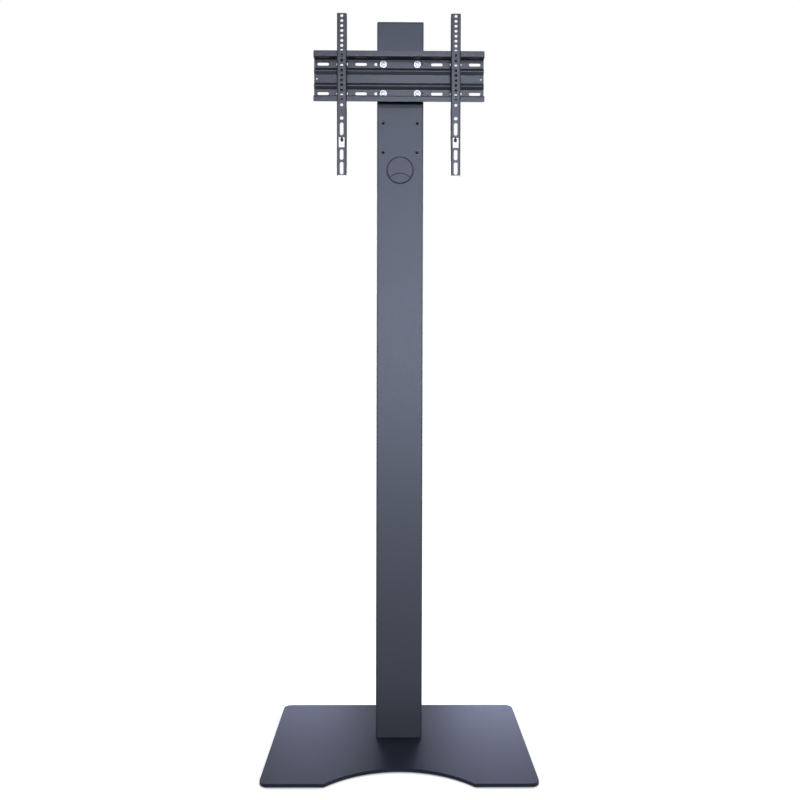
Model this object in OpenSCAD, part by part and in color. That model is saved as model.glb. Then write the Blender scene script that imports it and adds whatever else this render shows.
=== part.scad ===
// Floor stand for a flat screen: a steel base plate with an arched front edge, a rectangular
// column that hides the cables, and a folded rail plate on which two channel brackets hang.
// X runs to the right, Y to the back and Z up. The origin lies on the floor, under the
// middle of the base plate.

/* [Base plate] */
// Width of the base plate
base_w = 650; // [560:5:800]
// Depth of the base plate, front to back
base_d = 450; // [400:5:560]
// Thickness of the base plate
base_t = 8; // [7:0.5:12]
// Corner radius of the base plate
base_corner_r = 20; // [8:1:40]
// Width of the arch cut into the front edge
arch_w = 347; // [240:1:420]
// Depth of that arch
arch_rise = 72; // [30:1:100]
// Diameter of the rubber pads
pad_d = 34; // [20:1:50]
// Thickness of the rubber pads
pad_t = 2; // [1:0.5:5]
// Pad centres, in from the edges of the base plate
pad_inset = 32; // [30:1:50]

/* [Column] */
// Width of the column
column_w = 120; // [114:1:160]
// Depth of the column, front to back
column_depth = 60; // [50:1:90]
// Length of the column tube
column_len = 1850; // [1500:10:2000]
// Wall of the column tube
column_wall = 2; // [1.5:0.1:3]
// Outer corner radius of the column tube
column_r = 4; // [3.5:0.5:8]
// Front face of the column, behind the middle of the base plate
column_setback = 14; // [0:1:60]
// Thickness of the end cap's rim
cap_t = 3; // [2:0.5:6]
// Length of the end cap's plug inside the tube
cap_plug_len = 15; // [8:1:30]
// Wall of the end cap's plug
cap_plug_wall = 2; // [1.5:0.1:3]

/* [Foot joint] */
// Thickness of the foot block welded into the column
foot_t = 12; // [10:1:20]
// Base bolts, spacing across
bolt_pitch_x = 80; // [60:1:90]
// Base bolts, spacing front to back
bolt_pitch_y = 30; // [24:1:32]
// Diameter of the base bolts
bolt_d = 10; // [8:1:10]
// Head diameter of the base bolts, countersunk at 90 degrees
bolt_head_d = 20; // [17:1:22]
// Depth of the hexagon socket in the base bolts
bolt_socket_depth = 3.5; // [2:0.5:4]
// Width across corners of that socket
bolt_socket_d = 6.9; // [5:0.1:7]

/* [Threaded rows] */
// Highest row of rivet nuts, below the top of the tube
row_drop = 107; // [80:1:160]
// Spacing of the rows
row_pitch = 75; // [70:1:90]
// Spacing of the two columns of rivet nuts
nut_pitch = 87.5; // [80:0.5:92]
// Thread diameter of the rivet nuts
thread_d = 6; // [5:0.5:7]
// Body diameter of the rivet nuts
nut_body_d = 9; // [8.5:0.5:11]
// Diameter of the rivet nuts' rim
nut_rim_d = 12; // [11.5:0.5:15]
// Thickness of that rim
nut_rim_t = 0.8; // [0.5:0.1:1.5]
// Length of the rivet nuts behind the front of the column
nut_len = 14; // [10:1:18]
// Length of the bulge that grips the wall
nut_bulge_len = 3; // [2:0.5:5]

/* [Rail plate] */
// Width of the rail plate
plate_w = 436; // [420:1:520]
// Thickness of the sheet
plate_t = 2; // [1.5:0.1:2.5]
// Rail plate to the right of the column's middle line
plate_shift = -3.5; // [-6:0.5:6]
// Depth of the rail, from its back to the front of its lips
rail_depth = 22.2; // [20:0.2:26]
// Height of each lip, with the bend
lip_h = 15.6; // [12:0.2:22]
// Corner radius of the lips
lip_corner_r = 3; // [1:0.5:6]
// From a slot row to the shelf beside it
band_reach = 11.3; // [11:0.1:16]
// From a slot row to the bead beside it
bead_gap = 10.4; // [10:0.1:12]
// Height of each bead across its foot
bead_h = 16.4; // [15:0.2:18]
// How far the beads stand forward
bead_rise = 6.4; // [4:0.2:7]
// Height that each sloping bead wall takes
bead_run = 6; // [4.5:0.1:6.5]
// Inner radius of the bends
bend_r = 1.5; // [1:0.1:1.8]
// Length of the slots
slot_len = 29.6; // [27:0.2:34]
// Width of the slots
slot_w = 7.6; // [7.6:0.1:10]
// Middle of the first slot, outside the rivet nut behind it
slot_lead = 4.95; // [2:0.05:6]
// Middle of the last slot, in from the end of the plate
slot_end_inset = 23.2; // [20:0.2:28]
// Diameter of the small hole at each end
end_hole_d = 4; // [3:0.5:6]
// That hole's centre, in from the end
end_hole_inset = 7; // [5:0.5:10]

/* [Rail screws] */
// Length of the screws under the head
screw_len = 16; // [12:1:18]
// Head diameter
screw_head_d = 12; // [10:0.5:14]
// Head height
screw_head_h = 4.2; // [3:0.1:5]
// Length of the cross recess
recess_len = 6; // [4:0.5:8]
// Width of the cross recess
recess_w = 1.3; // [0.8:0.1:2]
// Depth of the cross recess
recess_depth = 2.2; // [1:0.1:2.6]
// Diameter of the washers
washer_d = 18; // [15:0.5:18.5]
// Thickness of the washers
washer_t = 1.6; // [1:0.1:2.5]

/* [Brackets] */
// Width of the brackets
bracket_w = 25; // [22:0.5:30]
// Length of the brackets
bracket_len = 409; // [400:1:480]
// Thickness of the brackets' sheet
bracket_t = 2; // [1.5:0.1:2.5]
// Top of the brackets above the upper lip
bracket_reach = 92; // [80:1:100]
// Free depth between a lip and the inside of the bracket
lip_room = 3; // [2:0.5:6]
// Middle of the left bracket, in from the left end of the rail plate
left_bracket_inset = 72.5; // [20:0.5:130]
// Middle of the right bracket, in from the right end of the rail plate
right_bracket_inset = 73.5; // [20:0.5:130]
// Diameter of the holes for the screen's screws
hole_d = 7.5; // [6:0.5:9]
// Spacing of those holes
hole_pitch = 12.5; // [12:0.1:13]
// Number of those holes
hole_count = 19; // [9:1:19]
// First hole, below the top of the bracket
hole_inset = 6.5; // [5.5:0.5:9]
// Diameter of the single hole lower down
lone_hole_d = 9; // [6:0.5:10]
// Strip between that hole and the highest slot
lone_hole_strip = 6.7; // [4:0.1:9]
// Length of the highest slot
upper_slot_len = 32; // [20:1:34]
// Length of the middle slot
middle_slot_len = 26.6; // [20:0.2:30]
// Length of the lowest slot
lower_slot_len = 31.6; // [20:0.2:34]
// Width of the bracket slots
bracket_slot_w = 9; // [7:0.5:10]
// Length of the opening under the tab
lance_len = 25.8; // [22:0.2:28]
// Width of that opening
lance_w = 14.6; // [13:0.2:15]
// Strips left between the slots
bridge = 5.1; // [4:0.1:6]
// Strip left under the lowest slot
end_strip = 1.6; // [1.2:0.1:4]
// Slope at the rear corners of the flanges
end_chamfer = 8; // [3:0.5:10]

/* [Lock screws] */
// Thread diameter of the lock screws
lock_d = 5; // [4:0.5:6]
// Length of the thread
lock_len = 8; // [7.5:0.5:12]
// Head diameter
lock_head_d = 8; // [7.5:0.5:9]
// Head height
lock_head_h = 7.6; // [5:0.1:10]
// Chamfer of the head
lock_head_chamfer = 1.6; // [0.5:0.1:2]
// Width of the tab that carries the screw
tab_w = 11; // [9:0.5:12]
// Tab past the thread
tab_margin = 3.4; // [2:0.1:3.6]
// Space between the lock screw and the back of a lip
lock_gap = 0.5; // [0.3:0.1:1]

/* [Cable grommets] */
// Hole in the column
grommet_hole_d = 60; // [50:1:64]
// Width of the flange around the hole
grommet_rim = 5; // [4:0.5:8]
// Thickness of the flange
grommet_rim_t = 4; // [3.6:0.1:6]
// Slope around the flange's outer edge
rim_chamfer = 1.9; // [0.5:0.1:2]
// Length of the sleeve behind the face of the column
sleeve_len = 14; // [8:1:18]
// Wall of the sleeve
sleeve_wall = 2; // [1.5:0.1:3]
// Thickness of the lid
lid_t = 2.2; // [1.5:0.1:2.5]
// Ring left around the lid
lid_margin = 2.4; // [1.5:0.1:3]
// Thickness of the half-moon web behind the lid
web_t = 2; // [1.5:0.1:3]
// Radius of the lid's cable notch
notch_r = 36; // [30:1:45]
// Top of that notch, below the middle of the lid
notch_drop = 8.5; // [7.5:0.5:14]
// Upper grommet, below the top of the tube
upper_grommet_drop = 377; // [376:1:500]
// Lower grommet, above the base plate
lower_grommet_rise = 110; // [60:5:200]
// Diameter of the lid's pivot pin
pivot_d = 6; // [4:0.5:7]
// Wall of the hub around the pin
hub_wall = 3; // [2:0.5:4]
// Width of the stop lug behind the lid
lug_w = 4; // [3:0.5:6]
// Length of that lug along the lid's radius
lug_len = 6; // [4:0.5:8]

/* [Clearances] */
// Sheet metal hooks around the lips
hook_gap = 0.3; // [0.2:0.05:0.6]
// Between a running pin and its bore, and between thread and nut, on radius
run_gap = 0.05; // [0.02:0.01:0.1]
// Between a head or a lid and what it rests on
seat_gap = 0.3; // [0.1:0.05:0.5]
// Plugs, sleeves and blocks inside a hole or tube
plug_gap = 0.2; // [0.1:0.05:0.4]
// Bolts and washers in plain holes, on radius
bolt_gap = 0.5; // [0.2:0.1:1]
// Brackets past the beads and screw heads
pass_gap = 1.8; // [1:0.1:3]

/* [Hidden] */
$fn = 96;

steel_black = "#3b3d46";
plastic_black = "#2c2d33";
zinc = "#c9ccd0";
rubber_black = "#1b1b1d";

// How far cutters run past what they cut
overrun = 1;
// Facets of one quarter of a rounded outline
corner_steps = 8;
// Facets of one bend in a folded sheet
bend_steps = 4;
// Slots on each side of the rail plate, in each row
slots_a_side = 4;
// Rows of rivet nuts, and how many of them the rail plate covers
rows_all = 4;
rows_used = 2;
// Sides of a hexagon socket
hex_sides = 6;
// Share of the strip above the opening that the tab's root runs up
tab_root_share = 0.8;
// Share of the pivot pin's diameter that its catch stands out
catch_share = 0.3;

// Heights
base_top = pad_t + base_t;
tube_top = base_top + column_len;
top_row_z = tube_top - row_drop;
rail_z = top_row_z - row_pitch / 2;
upper_grommet_z = tube_top - upper_grommet_drop;
lower_grommet_z = base_top + lower_grommet_rise;

// Depths in front of the column's face
plate_front = nut_rim_t + plate_t;
lip_front = nut_rim_t + rail_depth;
lip_back = lip_front - plate_t;
bracket_front = lip_front + lip_room + bracket_t;
stack_rise = max(bead_rise, washer_t + screw_head_h);
bracket_rear = plate_front + stack_rise + pass_gap;

// Rail plate, heights from its middle, and the spacing of its slots
shelf_in = row_pitch / 2 + band_reach;
lip_tip = shelf_in + lip_h;
bead_out = row_pitch / 2 - bead_gap;
bead_in = bead_out - bead_h;
slot_pitch = (plate_w / 2 - slot_end_inset - nut_pitch / 2 - slot_lead) / (slots_a_side - 1);

// Brackets, their middle lines and heights above the floor
left_bracket_x = plate_shift - plate_w / 2 + left_bracket_inset;
right_bracket_x = plate_shift + plate_w / 2 - right_bracket_inset;
bracket_top = rail_z + lip_tip + bracket_reach;
bracket_bottom = bracket_top - bracket_len;
lower_slot_z = bracket_bottom + end_strip + lower_slot_len / 2;
middle_slot_z = lower_slot_z + lower_slot_len / 2 + bridge + middle_slot_len / 2;
lance_bottom = middle_slot_z + middle_slot_len / 2 + bridge;
lance_top = lance_bottom + lance_len;
upper_slot_z = lance_top + bridge + upper_slot_len / 2;
lone_hole_z = upper_slot_z + upper_slot_len / 2 + lone_hole_strip + lone_hole_d / 2;
// The lift that frees a bracket from the lips
lift_room = lip_h + hook_gap;

// Lock screws
lock_depth = lip_back - lock_gap - lock_d / 2;
tab_rear = lock_depth - lock_d / 2 - tab_margin;

// Base
arch_r = (arch_w * arch_w / 4 + arch_rise * arch_rise) / (2 * arch_rise);
bolt_head_h = (bolt_head_d - bolt_d) / 2;
column_mid_y = column_setback + column_depth / 2;
inner_w = column_w - 2 * column_wall;
inner_depth = column_depth - 2 * column_wall;
inner_r = column_r - column_wall;

// Grommets, depths from the face of the column towards the inside
sleeve_d = grommet_hole_d - 2 * plug_gap;
sleeve_bore = sleeve_d - 2 * sleeve_wall;
rim_d = grommet_hole_d + 2 * grommet_rim;
recess_d = rim_d - 2 * lid_margin;
lid_d = recess_d - 2 * seat_gap;
lid_front = -grommet_rim_t;
lid_back = lid_front + lid_t;
web_front = lid_back + seat_gap;
web_back = web_front + web_t;
catch_t = catch_share * pivot_d;
web_top = -(lug_w / 2 + seat_gap);
lug_outer = sleeve_bore / 2 - sleeve_wall;

// Points of a rectangle with round corners, about its middle
function rounded_points(w, d, r) = [
  for (i = [0:3], k = [0:corner_steps])
    let (
      turn = 90 * (i + k / corner_steps),
      cx = (i == 0 || i == 3) ? w / 2 - r : r - w / 2,
      cy = (i < 2) ? d / 2 - r : r - d / 2
    )
    [cx + r * cos(turn), cy + r * sin(turn)]
];

function unit(v) = v / norm(v);
function left_of(v) = [-v[1], v[0]];
function turned(v, a) = [v[0] * cos(a) - v[1] * sin(a), v[0] * sin(a) + v[1] * cos(a)];

// One side of a sheet folded along path, side away from its middle line;
// r is the bends' radius on that line
function fold_side(path, r, side) = concat(
  [path[0] + left_of(unit(path[1] - path[0])) * side],
  [
    for (i = [1:len(path) - 2])
      let (
        a = unit(path[i] - path[i - 1]),
        b = unit(path[i + 1] - path[i]),
        turn = atan2(a[0] * b[1] - a[1] * b[0], a * b),
        s = sign(turn),
        centre = path[i] - a * r * tan(abs(turn) / 2) + left_of(a) * r * s
      )
      for (k = [0:bend_steps])
        centre - turned(left_of(a), turn * k / bend_steps) * s * (r - s * side)
  ],
  [path[len(path) - 1] + left_of(unit(path[len(path) - 1] - path[len(path) - 2])) * side]
);

// Outline of a folded sheet of thickness t
function fold(path, t) =
  let (
    r = bend_r + t / 2,
    one = fold_side(path, r, t / 2),
    other = fold_side(path, r, -t / 2)
  )
  concat(one, [for (i = [len(other) - 1:-1:0]) other[i]]);

function mirrored(path) = [for (i = [len(path) - 1:-1:0]) [path[i][0], -path[i][1]]];

// Middle line of the rail's lower half: lip, shelf, slot band, bead, middle band.
// The lip runs on past its tip, where the outline of the plate trims it
function rail_half() =
  let (
    web = plate_t / 2,
    lip = rail_depth - plate_t / 2,
    shelf = shelf_in + plate_t / 2,
    crest = web + bead_rise
  )
  [
    [lip, -lip_tip - overrun], [lip, -shelf], [web, -shelf],
    [web, -bead_out], [crest, bead_run - bead_out],
    [crest, -bead_in - bead_run], [web, -bead_in]
  ];

function slot_x(k) = nut_pitch / 2 + slot_lead + k * slot_pitch;

// Cutter for a slot w wide and len long, along X, through h in Y
module slot_cut(len, w, h) {
  rotate([90, 0, 0]) {
    cube([len - w, w, h], center = true);
    for (side = [-1, 1])
      translate([side * (len - w) / 2, 0, 0])
        cylinder(d = w, h = h, center = true);
  }
}

// A prism whose outline lies in depth and height, w wide in X
module side_prism(points, w) {
  rotate([90, 0, 90])
    linear_extrude(w, center = true)
      polygon([for (p = points) [-p[0], p[1]]]);
}

// Places what it is given at each base bolt
module at_base_bolts() {
  for (x = [-1, 1], y = [-1, 1])
    translate([x * bolt_pitch_x / 2, column_mid_y + y * bolt_pitch_y / 2, 0])
      children();
}

// Places what it is given on the column's face, at the threaded holes of some rows
module at_threads(first, last) {
  for (row = [first:last], x = [-1, 1])
    translate([x * nut_pitch / 2, column_setback, top_row_z - row * row_pitch])
      rotate([-90, 0, 0])
        children();
}

module base_plate() {
  color(steel_black)
    difference() {
      translate([0, 0, pad_t])
        linear_extrude(base_t)
          polygon(rounded_points(base_w, base_d, base_corner_r));
      translate([0, arch_rise - base_d / 2 - arch_r, pad_t - overrun])
        cylinder(r = arch_r, h = base_t + 2 * overrun, $fn = 4 * $fn);
      at_base_bolts() {
        translate([0, 0, pad_t - overrun])
          cylinder(d = bolt_d + 2 * bolt_gap, h = base_t + 2 * overrun);
        translate([0, 0, pad_t - overrun])
          cylinder(
            d1 = bolt_head_d + 2 * (bolt_gap + overrun),
            d2 = bolt_d + 2 * bolt_gap,
            h = bolt_head_h + overrun
          );
      }
    }
}

module pad(side_x, side_y) {
  color(rubber_black)
    translate([side_x * (base_w / 2 - pad_inset), side_y * (base_d / 2 - pad_inset), 0])
      cylinder(d = pad_d, h = pad_t);
}

module pad_front_left() {
  pad(-1, -1);
}

module pad_front_right() {
  pad(1, -1);
}

module pad_rear_left() {
  pad(-1, 1);
}

module pad_rear_right() {
  pad(1, 1);
}

module column_tube() {
  color(steel_black)
    difference() {
      translate([0, column_mid_y, base_top])
        linear_extrude(column_len)
          polygon(rounded_points(column_w, column_depth, column_r));
      translate([0, column_mid_y, base_top - overrun])
        linear_extrude(column_len + 2 * overrun)
          polygon(rounded_points(inner_w, inner_depth, inner_r));
      at_threads(0, rows_all - 1)
        translate([0, 0, -overrun])
          cylinder(d = nut_body_d + 2 * plug_gap, h = column_wall + 2 * overrun);
      translate([0, column_setback - overrun, upper_grommet_z])
        rotate([-90, 0, 0])
          cylinder(d = grommet_hole_d, h = column_wall + 2 * overrun);
      translate([0, column_setback + column_depth + overrun, lower_grommet_z])
        rotate([90, 0, 0])
          cylinder(d = grommet_hole_d, h = column_wall + 2 * overrun);
    }
}

module column_foot() {
  color(steel_black)
    difference() {
      translate([0, column_mid_y, base_top])
        linear_extrude(foot_t)
          polygon(rounded_points(inner_w - 2 * plug_gap, inner_depth - 2 * plug_gap, inner_r));
      at_base_bolts()
        translate([0, 0, base_top - overrun])
          cylinder(d = bolt_d + 2 * run_gap, h = foot_t + 2 * overrun);
    }
}

module base_bolts() {
  color(zinc)
    at_base_bolts()
      difference() {
        union() {
          translate([0, 0, pad_t])
            cylinder(d1 = bolt_head_d, d2 = bolt_d, h = bolt_head_h);
          translate([0, 0, pad_t])
            cylinder(d = bolt_d, h = base_t + foot_t);
        }
        translate([0, 0, pad_t - overrun])
          cylinder(d = bolt_socket_d, h = bolt_socket_depth + overrun, $fn = hex_sides);
      }
}

module column_cap() {
  color(plastic_black)
    difference() {
      union() {
        translate([0, column_mid_y, tube_top])
          linear_extrude(cap_t)
            polygon(rounded_points(column_w, column_depth, column_r));
        translate([0, column_mid_y, tube_top - cap_plug_len])
          linear_extrude(cap_plug_len)
            polygon(rounded_points(inner_w - 2 * plug_gap, inner_depth - 2 * plug_gap, inner_r));
      }
      translate([0, column_mid_y, tube_top - cap_plug_len - overrun])
        linear_extrude(cap_plug_len + overrun)
          polygon(rounded_points(
            inner_w - 2 * (plug_gap + cap_plug_wall),
            inner_depth - 2 * (plug_gap + cap_plug_wall),
            inner_r
          ));
    }
}

// A set rivet nut: its rim lies on the face, its bulge grips the wall from behind
module rivet_nut() {
  difference() {
    union() {
      translate([0, 0, -nut_rim_t])
        cylinder(d = nut_rim_d, h = nut_rim_t);
      cylinder(d = nut_body_d, h = nut_len);
      translate([0, 0, column_wall])
        cylinder(d = nut_rim_d, h = nut_bulge_len);
    }
    translate([0, 0, -nut_rim_t - overrun])
      cylinder(d = thread_d + 2 * run_gap, h = nut_rim_t + nut_len + 2 * overrun);
  }
}

module rivet_nuts_upper() {
  color(steel_black)
    at_threads(0, rows_used - 1)
      rivet_nut();
}

module rivet_nuts_lower() {
  color(steel_black)
    at_threads(rows_used, rows_all - 1)
      rivet_nut();
}

module mount_plate() {
  color(steel_black)
    translate([plate_shift, column_setback - nut_rim_t, rail_z])
      difference() {
        intersection() {
          side_prism(
            fold(concat(rail_half(), mirrored(rail_half())), plate_t),
            plate_w + 2 * overrun
          );
          rotate([90, 0, 0])
            linear_extrude(2 * (rail_depth + overrun), center = true)
              polygon(rounded_points(plate_w, 2 * lip_tip, lip_corner_r));
        }
        for (side = [-1, 1]) {
          for (row = [-1, 1], k = [0:slots_a_side - 1])
            translate([side * slot_x(k), 0, row * row_pitch / 2])
              slot_cut(slot_len, slot_w, 2 * plate_t + overrun);
          translate([side * (plate_w / 2 - end_hole_inset), 0, 0])
            rotate([90, 0, 0])
              cylinder(d = end_hole_d, h = 2 * plate_t + overrun, center = true);
        }
      }
}

module mount_washers() {
  color(zinc)
    at_threads(0, rows_used - 1)
      translate([0, 0, -plate_front - washer_t])
        difference() {
          cylinder(d = washer_d, h = washer_t);
          translate([0, 0, -overrun])
            cylinder(d = thread_d + 2 * bolt_gap, h = washer_t + 2 * overrun);
        }
}

// Pan-head screw; its head stands towards -Z and its thread runs to +Z from the origin
module pan_screw() {
  head_r = screw_head_d / 2;
  dome_h = screw_head_h / 2;
  difference() {
    union() {
      rotate_extrude()
        polygon(concat(
          [[0, -screw_head_h]],
          [
            for (k = [1:corner_steps])
              let (a = 90 * k / corner_steps)
              [head_r * sin(a), -(screw_head_h - dome_h) - dome_h * cos(a)]
          ],
          [[head_r, 0], [0, 0]]
        ));
      cylinder(d = thread_d, h = screw_len);
    }
    for (turn = [45, 135])
      rotate([0, 0, turn])
        translate([-recess_len / 2, -recess_w / 2, -screw_head_h - overrun])
          cube([recess_len, recess_w, recess_depth + overrun]);
  }
}

module mount_screws() {
  color(zinc)
    at_threads(0, rows_used - 1)
      translate([0, 0, -plate_front - washer_t])
        pan_screw();
}

// Channel bracket with hooks for both lips, its middle line at X = 0
module bracket() {
  flange_x = (bracket_w - bracket_t) / 2;
  web_depth = bracket_front - bracket_t / 2;
  channel = fold(
    [
      [-flange_x, -bracket_rear], [-flange_x, -web_depth],
      [flange_x, -web_depth], [flange_x, -bracket_rear]
    ],
    bracket_t
  );
  chamfer_top = [
    [bracket_rear + end_chamfer, bracket_top + overrun],
    [bracket_rear - overrun, bracket_top + overrun],
    [bracket_rear - overrun, bracket_top - end_chamfer - overrun]
  ];
  chamfer_bottom = [
    [bracket_rear + end_chamfer, bracket_bottom - overrun],
    [bracket_rear - overrun, bracket_bottom - overrun],
    [bracket_rear - overrun, bracket_bottom + end_chamfer + overrun]
  ];
  color(steel_black)
    translate([0, column_setback, 0]) {
      difference() {
        translate([0, 0, bracket_bottom])
          linear_extrude(bracket_len)
            polygon(channel);
        side_prism(chamfer_top, 2 * bracket_w);
        side_prism(chamfer_bottom, 2 * bracket_w);
        hook_cuts();
        web_cuts();
      }
      difference() {
        side_prism(
          fold(
            [
              [web_depth, lance_top + tab_root_share * bridge],
              [web_depth, lance_top + bracket_t / 2],
              [tab_rear, lance_top + bracket_t / 2]
            ],
            bracket_t
          ),
          tab_w
        );
        translate([0, -lock_depth, lance_top - overrun])
          cylinder(d = lock_d + 2 * run_gap, h = bracket_t + 2 * overrun);
      }
    }
}

// Space in the flanges for the lips and shelves of the rail, and for the lift that frees them
module hook_cuts() {
  front = lip_front + hook_gap;
  rear = bracket_rear - overrun;
  upper_shelf = rail_z + shelf_in;
  lower_shelf = rail_z - shelf_in;
  tip = lip_back - hook_gap;
  hook_z = upper_shelf + plate_t + hook_gap;
  // Upper shelf, open to the back and far enough down to lift the bracket
  translate([-bracket_w, -front, upper_shelf - lift_room])
    cube([2 * bracket_w, front - rear, lift_room + plate_t + hook_gap]);
  // Slot that takes the upper lip
  translate([-bracket_w, -front, upper_shelf - lift_room])
    cube([2 * bracket_w, plate_t + 2 * hook_gap, lift_room + lip_h + hook_gap]);
  // Slope on the hook's tip, clear of the bend behind the lip
  side_prism(
    [
      [lip_back, hook_z - hook_gap], [tip - bend_r, hook_z - hook_gap],
      [tip - bend_r, hook_z], [tip, hook_z + bend_r], [lip_back, hook_z + bend_r]
    ],
    2 * bracket_w
  );
  // Lower shelf and lip
  translate([-bracket_w, -front, rail_z - lip_tip - lift_room])
    cube([2 * bracket_w, front - rear, lower_shelf - rail_z + lip_tip + lift_room + hook_gap]);
}

// Holes and slots in the face of a bracket
module web_cuts() {
  cut_y = bracket_t / 2 - bracket_front;
  cut_h = 2 * bracket_t;
  for (k = [0:hole_count - 1])
    translate([0, cut_y, bracket_top - hole_inset - k * hole_pitch])
      rotate([90, 0, 0])
        cylinder(d = hole_d, h = cut_h, center = true);
  translate([0, cut_y, lone_hole_z])
    rotate([90, 0, 0])
      cylinder(d = lone_hole_d, h = cut_h, center = true);
  for (slot = [
    [upper_slot_z, upper_slot_len], [middle_slot_z, middle_slot_len],
    [lower_slot_z, lower_slot_len]
  ])
    translate([0, cut_y, slot[0]])
      rotate([0, 90, 0])
        slot_cut(slot[1], bracket_slot_w, cut_h);
  translate([-lance_w / 2, cut_y - cut_h / 2, lance_bottom])
    cube([lance_w, cut_h, lance_len]);
}

module left_bracket() {
  translate([left_bracket_x, 0, 0])
    bracket();
}

module right_bracket() {
  translate([right_bracket_x, 0, 0])
    bracket();
}

// Lock screw hanging under its tab, its middle line at X = 0
module lock_screw() {
  head_r = lock_head_d / 2;
  color(plastic_black)
    translate([0, column_setback - lock_depth, lance_top - seat_gap]) {
      rotate_extrude()
        polygon([
          [0, -lock_head_h], [head_r - lock_head_chamfer, -lock_head_h],
          [head_r, lock_head_chamfer - lock_head_h], [head_r, 0], [0, 0]
        ]);
      cylinder(d = lock_d, h = lock_len);
    }
}

module left_lock_screw() {
  translate([left_bracket_x, 0, 0])
    lock_screw();
}

module right_lock_screw() {
  translate([right_bracket_x, 0, 0])
    lock_screw();
}

// Grommet ring seen from the front, with the column's face at Y = 0
module grommet_ring() {
  color(plastic_black)
    difference() {
      union() {
        rotate([-90, 0, 0]) {
          difference() {
            union() {
              translate([0, 0, lid_front])
                cylinder(d1 = rim_d - 2 * rim_chamfer, d2 = rim_d, h = rim_chamfer);
              translate([0, 0, lid_front + rim_chamfer])
                cylinder(d = rim_d, h = grommet_rim_t - rim_chamfer);
              cylinder(d = sleeve_d, h = sleeve_len);
              translate([0, 0, column_wall + plug_gap])
                cylinder(d = grommet_hole_d + 2 * plug_gap, h = sleeve_wall);
            }
            translate([0, 0, lid_front - overrun])
              cylinder(d = recess_d, h = web_front - lid_front + overrun);
            translate([0, 0, lid_front])
              cylinder(d = sleeve_bore, h = grommet_rim_t + sleeve_len + overrun);
          }
          translate([0, 0, web_front])
            cylinder(d = pivot_d + 2 * (run_gap + hub_wall), h = web_t);
        }
        intersection() {
          translate([0, web_front, 0])
            rotate([-90, 0, 0])
              cylinder(d = sleeve_bore + sleeve_wall, h = web_t);
          translate([-sleeve_d / 2, web_front - overrun, web_top - sleeve_d])
            cube([sleeve_d, web_t + 2 * overrun, sleeve_d]);
        }
      }
      translate([0, web_front - overrun, 0])
        rotate([-90, 0, 0])
          cylinder(d = pivot_d + 2 * run_gap, h = web_t + 2 * overrun);
    }
}

// Lid seen from the front: a disc with a cable notch at its foot, a pivot pin and a stop lug
module grommet_lid() {
  color(plastic_black)
    union() {
      difference() {
        translate([0, lid_front, 0])
          rotate([-90, 0, 0])
            cylinder(d = lid_d, h = lid_t);
        translate([0, lid_front - overrun, -notch_drop - notch_r])
          rotate([-90, 0, 0])
            cylinder(r = notch_r, h = lid_t + 2 * overrun);
      }
      translate([0, lid_back, 0])
        rotate([-90, 0, 0])
          cylinder(d = pivot_d, h = web_back + seat_gap - lid_back);
      translate([0, web_back + seat_gap, 0])
        rotate([-90, 0, 0])
          cylinder(d = pivot_d + 2 * catch_t, h = catch_t);
      translate([lug_outer - lug_len, lid_back, -lug_w / 2])
        cube([lug_len, web_back - lid_back, lug_w]);
    }
}

module upper_grommet_ring() {
  translate([0, column_setback, upper_grommet_z])
    grommet_ring();
}

module upper_grommet_lid() {
  translate([0, column_setback, upper_grommet_z])
    grommet_lid();
}

module lower_grommet_ring() {
  translate([0, column_setback + column_depth, lower_grommet_z])
    rotate([0, 0, 180])
      grommet_ring();
}

module lower_grommet_lid() {
  translate([0, column_setback + column_depth, lower_grommet_z])
    rotate([0, 0, 180])
      grommet_lid();
}

base_plate();
pad_front_left();
pad_front_right();
pad_rear_left();
pad_rear_right();
column_tube();
column_foot();
base_bolts();
column_cap();
rivet_nuts_upper();
rivet_nuts_lower();
mount_plate();
mount_washers();
mount_screws();
left_bracket();
right_bracket();
left_lock_screw();
right_lock_screw();
upper_grommet_ring();
upper_grommet_lid();
lower_grommet_ring();
lower_grommet_lid();
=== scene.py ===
# Floor stand for a flat screen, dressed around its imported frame: powder-coated sheet and tube, bright
# rail screws, dark lock screws and moulded plastic. All sizes are metres, and the front faces -Y.
import math
import bmesh
import bpy
from mathutils import Matrix, Vector


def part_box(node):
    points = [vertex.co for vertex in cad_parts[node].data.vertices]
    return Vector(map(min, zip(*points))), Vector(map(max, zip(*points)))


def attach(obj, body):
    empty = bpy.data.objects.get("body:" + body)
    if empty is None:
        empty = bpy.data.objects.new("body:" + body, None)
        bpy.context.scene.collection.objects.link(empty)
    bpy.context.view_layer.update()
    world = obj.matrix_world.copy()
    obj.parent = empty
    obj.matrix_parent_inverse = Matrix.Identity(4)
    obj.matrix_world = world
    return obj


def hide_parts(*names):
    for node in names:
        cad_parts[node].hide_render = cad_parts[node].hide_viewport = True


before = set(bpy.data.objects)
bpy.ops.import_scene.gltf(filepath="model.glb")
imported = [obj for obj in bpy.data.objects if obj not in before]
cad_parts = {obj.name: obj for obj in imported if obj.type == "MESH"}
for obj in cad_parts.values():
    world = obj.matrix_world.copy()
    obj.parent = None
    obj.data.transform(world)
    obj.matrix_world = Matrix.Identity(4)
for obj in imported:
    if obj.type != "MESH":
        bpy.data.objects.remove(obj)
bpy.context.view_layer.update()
bpy.ops.object.select_all(action='DESELECT')
print('frame loaded,', len(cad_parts), 'nodes')


# Handling of pieces

hair = 0.00001                # places closer than this count as one place
doubled = 0.000001            # points closer than this are joined
straight = 0.999              # share of an edge's length that has to lie along an axis
facing = 0.9                  # the least cosine between a face's normal and the way it looks
creaseAngle = 30              # degrees; sharper edges are rounded
softAngle = 35                # degrees; flatter folds are shaded smooth
through = 4                   # cutting tools are this many times as long as the sheet is thick


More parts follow.
